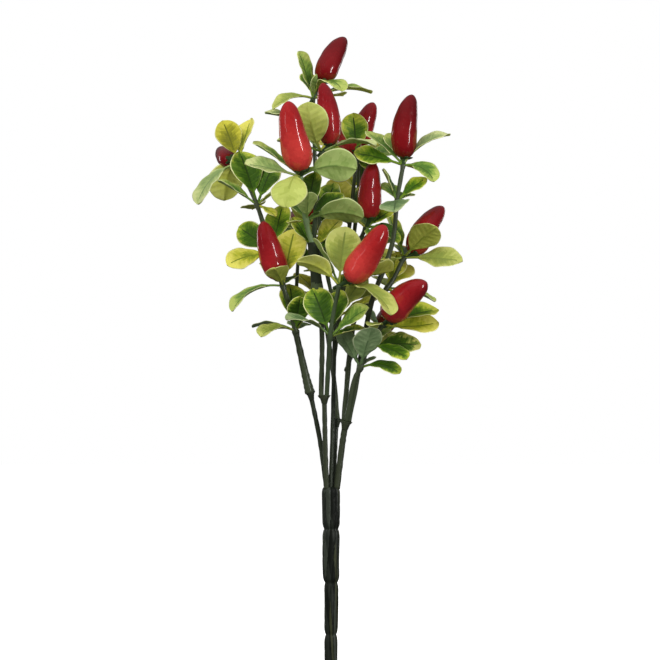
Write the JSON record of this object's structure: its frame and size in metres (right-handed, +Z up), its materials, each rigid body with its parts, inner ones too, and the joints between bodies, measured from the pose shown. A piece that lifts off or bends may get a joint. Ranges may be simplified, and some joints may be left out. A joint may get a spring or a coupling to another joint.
{
  "type": "artificial chilli pepper plant",
  "caption": "Slim artificial chilli pepper plant: a ridged stem bundle cut flat at the foot, thin branching stems, whorls of spoon-shaped leaves and upright red chillies.",
  "frame": {"origin": "middle of the flat cut at the foot of the stem bundle", "axes": "+Z up along the stem bundle, -Y towards the front, +X to the right seen from the front"},
  "size_m": [0.1571, 0.136, 0.3797],
  "materials": {
    "stem": "satin near-black green",
    "foliage": "satin green leaves with yellow-green margins, glossy red chillies"
  },
  "bodies": {
    "root": {"main_stem": "stem", "bough_left": "stem", "bough_front": "stem", "bough_centre": "stem", "bough_right": "stem", "bough_rear": "stem", "sprig_left": "foliage", "sprig_front_left": "foliage", "sprig_front": "foliage", "sprig_centre": "foliage", "sprig_right": "foliage", "sprig_right_rear": "foliage", "sprig_rear": "foliage"}
  },
  "joints": []
}
